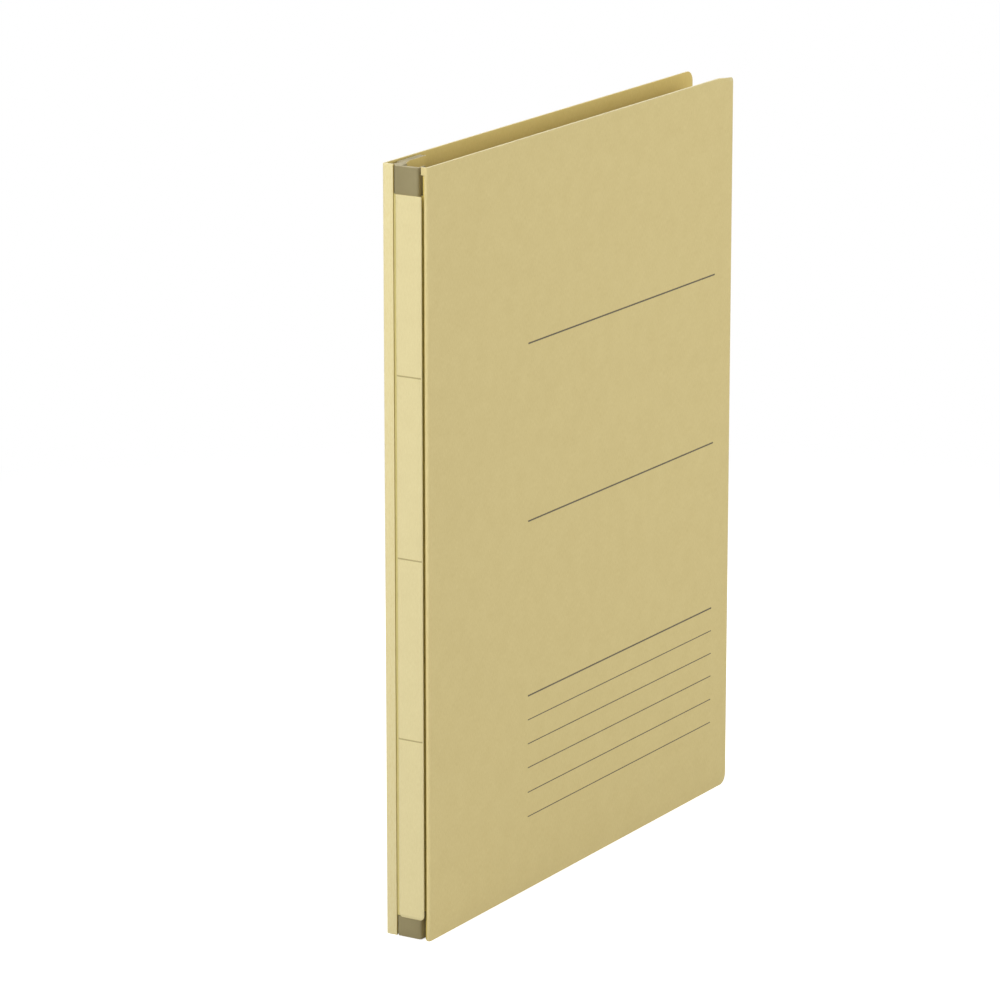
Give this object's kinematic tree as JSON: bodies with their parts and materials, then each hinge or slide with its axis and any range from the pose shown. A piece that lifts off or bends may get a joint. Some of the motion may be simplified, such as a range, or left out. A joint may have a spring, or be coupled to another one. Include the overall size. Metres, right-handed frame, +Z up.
{
  "type": "expanding-spine flat file",
  "caption": "Upright A4 flat file with board covers, a plastic spine rail, a title strip, a sliding spine flap and a press-bar fastener for punched sheets.",
  "frame": {"origin": "middle of the foot of the closed, standing file, on the surface it stands on", "axes": "+Z up along the spine, +Y from the spine to the fore edge, +X from the back cover to the front cover"},
  "size_m": [0.02, 0.2392, 0.307],
  "materials": {
    "cover_board": "dyed olive-cream board, matte",
    "title_board": "pale cream board, matte",
    "rail_plastic": "grey-brown moulded polypropylene",
    "fastener_plastic": "off-white moulded polypropylene"
  },
  "bodies": {
    "spine": {"spine_rail": "rail_plastic", "spine_label": "title_board", "back_spine_strip": "cover_board", "flap_tail": "cover_board", "fastener_prongs": "fastener_plastic", "fastener_plate": "fastener_plastic"},
    "back_cover": {"back_cover_panel": "cover_board"},
    "spine_flap": {"front_flap": "cover_board"},
    "front_cover": {"front_cover_panel": "cover_board"},
    "press_bar": {"press_bar": "fastener_plastic"},
    "keeper_top": {"keeper_top": "fastener_plastic"},
    "keeper_bottom": {"keeper_bottom": "fastener_plastic"}
  },
  "joints": [
    {"name": "back_cover_fold", "type": "hinge", "parent": "spine", "child": "back_cover", "pos_m": [-0.0096, -0.11795, 0.1535], "axis": [0, 0, 1], "range_deg": [0, 180]},
    {"name": "spine_growth", "type": "slide", "parent": "spine", "child": "spine_flap", "axis": [1, 0, 0], "range_m": [0, 0.1], "deforming": ["flap_tail"]},
    {"name": "front_cover_fold", "type": "hinge", "parent": "spine_flap", "child": "front_cover", "pos_m": [0.0096, -0.11795, 0.1535], "axis": [0, 0, -1], "range_deg": [0, 180]},
    {"name": "press_bar_lift", "type": "slide", "parent": "spine", "child": "press_bar", "axis": [1, 0, 0], "range_m": [0, 0.008], "deforming": ["fastener_prongs"]},
    {"name": "keeper_top_slide", "type": "slide", "parent": "press_bar", "child": "keeper_top", "axis": [0, 0, -1], "range_m": [0, 0.014]},
    {"name": "keeper_bottom_slide", "type": "slide", "parent": "press_bar", "child": "keeper_bottom", "axis": [0, 0, 1], "range_m": [0, 0.014]}
  ]
}
